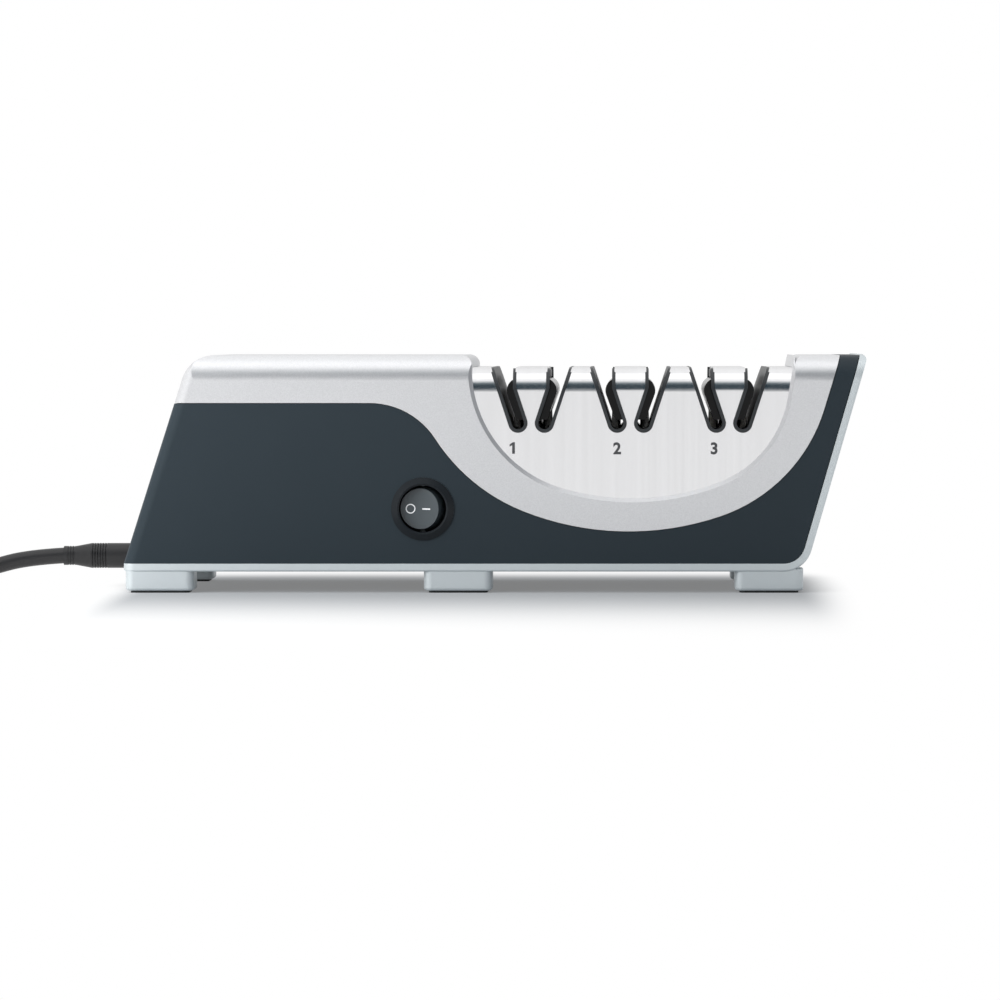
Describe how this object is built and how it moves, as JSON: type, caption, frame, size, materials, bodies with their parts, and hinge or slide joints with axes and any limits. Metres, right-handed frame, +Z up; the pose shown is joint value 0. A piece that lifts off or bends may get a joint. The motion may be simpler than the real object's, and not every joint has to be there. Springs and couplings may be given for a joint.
{
  "type": "electric knife sharpener",
  "caption": "Bench-top electric knife sharpener with three grinding stages, steel-faced knife slots and a rocker switch",
  "frame": {"origin": "on the bench, under the middle of the housing", "axes": "+X from the cord end to the end wall, front face toward -Y, +Z up"},
  "size_m": [0.519, 0.1058, 0.1028],
  "materials": {
    "dark_plastic": "satin anthracite moulded plastic",
    "silver_paint": "plastic with fine metallic silver paint",
    "silver_plastic": "satin silver moulded plastic",
    "pad_rubber": "matt rubber",
    "steel_sheet": "brushed, grain upright",
    "black_plastic": "black moulded plastic",
    "switch_plastic": "glossy black",
    "abrasive": "steel disc with bonded grit",
    "ground_steel": "ground steel",
    "spring_steel": "bright spring wire",
    "bronze": "sintered bronze",
    "copper": "enamelled copper",
    "core_steel": "laminated steel",
    "bobbin_plastic": "natural nylon",
    "bracket_metal": "die cast",
    "fan_plastic": "glass filled nylon",
    "terminal_brass": "plated brass",
    "cord_jacket": "flexible PVC jacket",
    "wire_jacket": "PVC insulated leads",
    "screw_steel": "zinc plated",
    "ferrite": "ferrite magnet strip"
  },
  "bodies": {
    "housing": {"body_shell": "dark_plastic", "top_cover": "silver_paint", "base_pan": "silver_plastic", "foot_pads": "pad_rubber", "cleanout_cover": "silver_plastic", "filings_magnet": "ferrite", "steel_cover": "steel_sheet", "knife_guide_1": "black_plastic", "guide_spring_1": "black_plastic", "knife_guide_2": "black_plastic", "guide_spring_2": "black_plastic", "knife_guide_3": "black_plastic", "guide_spring_3": "black_plastic", "inner_bracket": "bracket_metal", "outer_bracket": "bracket_metal", "inner_bush": "bronze", "outer_bush": "bronze", "stator_core": "core_steel", "shading_bars": "copper", "coil_bobbin": "bobbin_plastic", "coil_winding": "copper", "motor_plate_right": "bracket_metal", "motor_plate_left": "bracket_metal", "motor_bush_right": "bronze", "motor_bush_left": "bronze", "motor_bolts": "screw_steel", "motor_nuts": "screw_steel", "switch_body": "switch_plastic", "switch_bezel": "switch_plastic", "switch_terminals": "terminal_brass", "strain_relief": "cord_jacket", "cord_lead": "cord_jacket", "cord_coil": "cord_jacket", "cord_tail": "cord_jacket", "plug_body": "cord_jacket", "plug_blades": "terminal_brass", "inner_cord": "cord_jacket", "lead_wires": "wire_jacket", "cord_clamp": "black_plastic", "base_screws": "screw_steel", "cover_screws": "screw_steel", "bracket_screws": "screw_steel", "motor_foot_screws": "screw_steel", "clamp_screws": "screw_steel"},
    "drive": {"drive_shaft": "ground_steel", "shaft_clips": "spring_steel", "shaft_coupling": "black_plastic", "rotor": "core_steel", "motor_shaft": "ground_steel", "cooling_fan": "fan_plastic", "disc_spring_1": "spring_steel", "disc_spring_2": "spring_steel", "disc_spring_3": "spring_steel"},
    "rocker_button": {"rocker": "switch_plastic"},
    "disc_1_left": {"grinding_disc_1_left": "abrasive"},
    "disc_1_right": {"grinding_disc_1_right": "abrasive"},
    "disc_2_left": {"grinding_disc_2_left": "abrasive"},
    "disc_2_right": {"grinding_disc_2_right": "abrasive"},
    "disc_3_left": {"grinding_disc_3_left": "abrasive"},
    "disc_3_right": {"grinding_disc_3_right": "abrasive"}
  },
  "joints": [
    {"name": "drive_spin", "type": "hinge", "parent": "housing", "child": "drive", "pos_m": [0, 0, 0.058], "axis": [1, 0, 0], "continuous": true},
    {"name": "rocker_tilt", "type": "hinge", "parent": "housing", "child": "rocker_button", "pos_m": [-0.031, -0.0455, 0.0362], "axis": [0, 0, 1], "range_deg": [0, 24]},
    {"name": "disc_1_left_slide", "type": "slide", "parent": "drive", "child": "disc_1_left", "axis": [1, 0, 0], "range_m": [0, 0.0015], "stiffness_N_per_m": 2000, "springref_m": -0.001, "deforming": ["disc_spring_1"]},
    {"name": "disc_1_right_slide", "type": "slide", "parent": "drive", "child": "disc_1_right", "axis": [-1, 0, 0], "range_m": [0, 0.0015], "stiffness_N_per_m": 2000, "springref_m": -0.001},
    {"name": "disc_2_left_slide", "type": "slide", "parent": "drive", "child": "disc_2_left", "axis": [1, 0, 0], "range_m": [0, 0.0015], "stiffness_N_per_m": 2000, "springref_m": -0.001, "deforming": ["disc_spring_2"]},
    {"name": "disc_2_right_slide", "type": "slide", "parent": "drive", "child": "disc_2_right", "axis": [-1, 0, 0], "range_m": [0, 0.0015], "stiffness_N_per_m": 2000, "springref_m": -0.001},
    {"name": "disc_3_left_slide", "type": "slide", "parent": "drive", "child": "disc_3_left", "axis": [1, 0, 0], "range_m": [0, 0.0015], "stiffness_N_per_m": 2000, "springref_m": -0.001, "deforming": ["disc_spring_3"]},
    {"name": "disc_3_right_slide", "type": "slide", "parent": "drive", "child": "disc_3_right", "axis": [-1, 0, 0], "range_m": [0, 0.0015], "stiffness_N_per_m": 2000, "springref_m": -0.001}
  ]
}
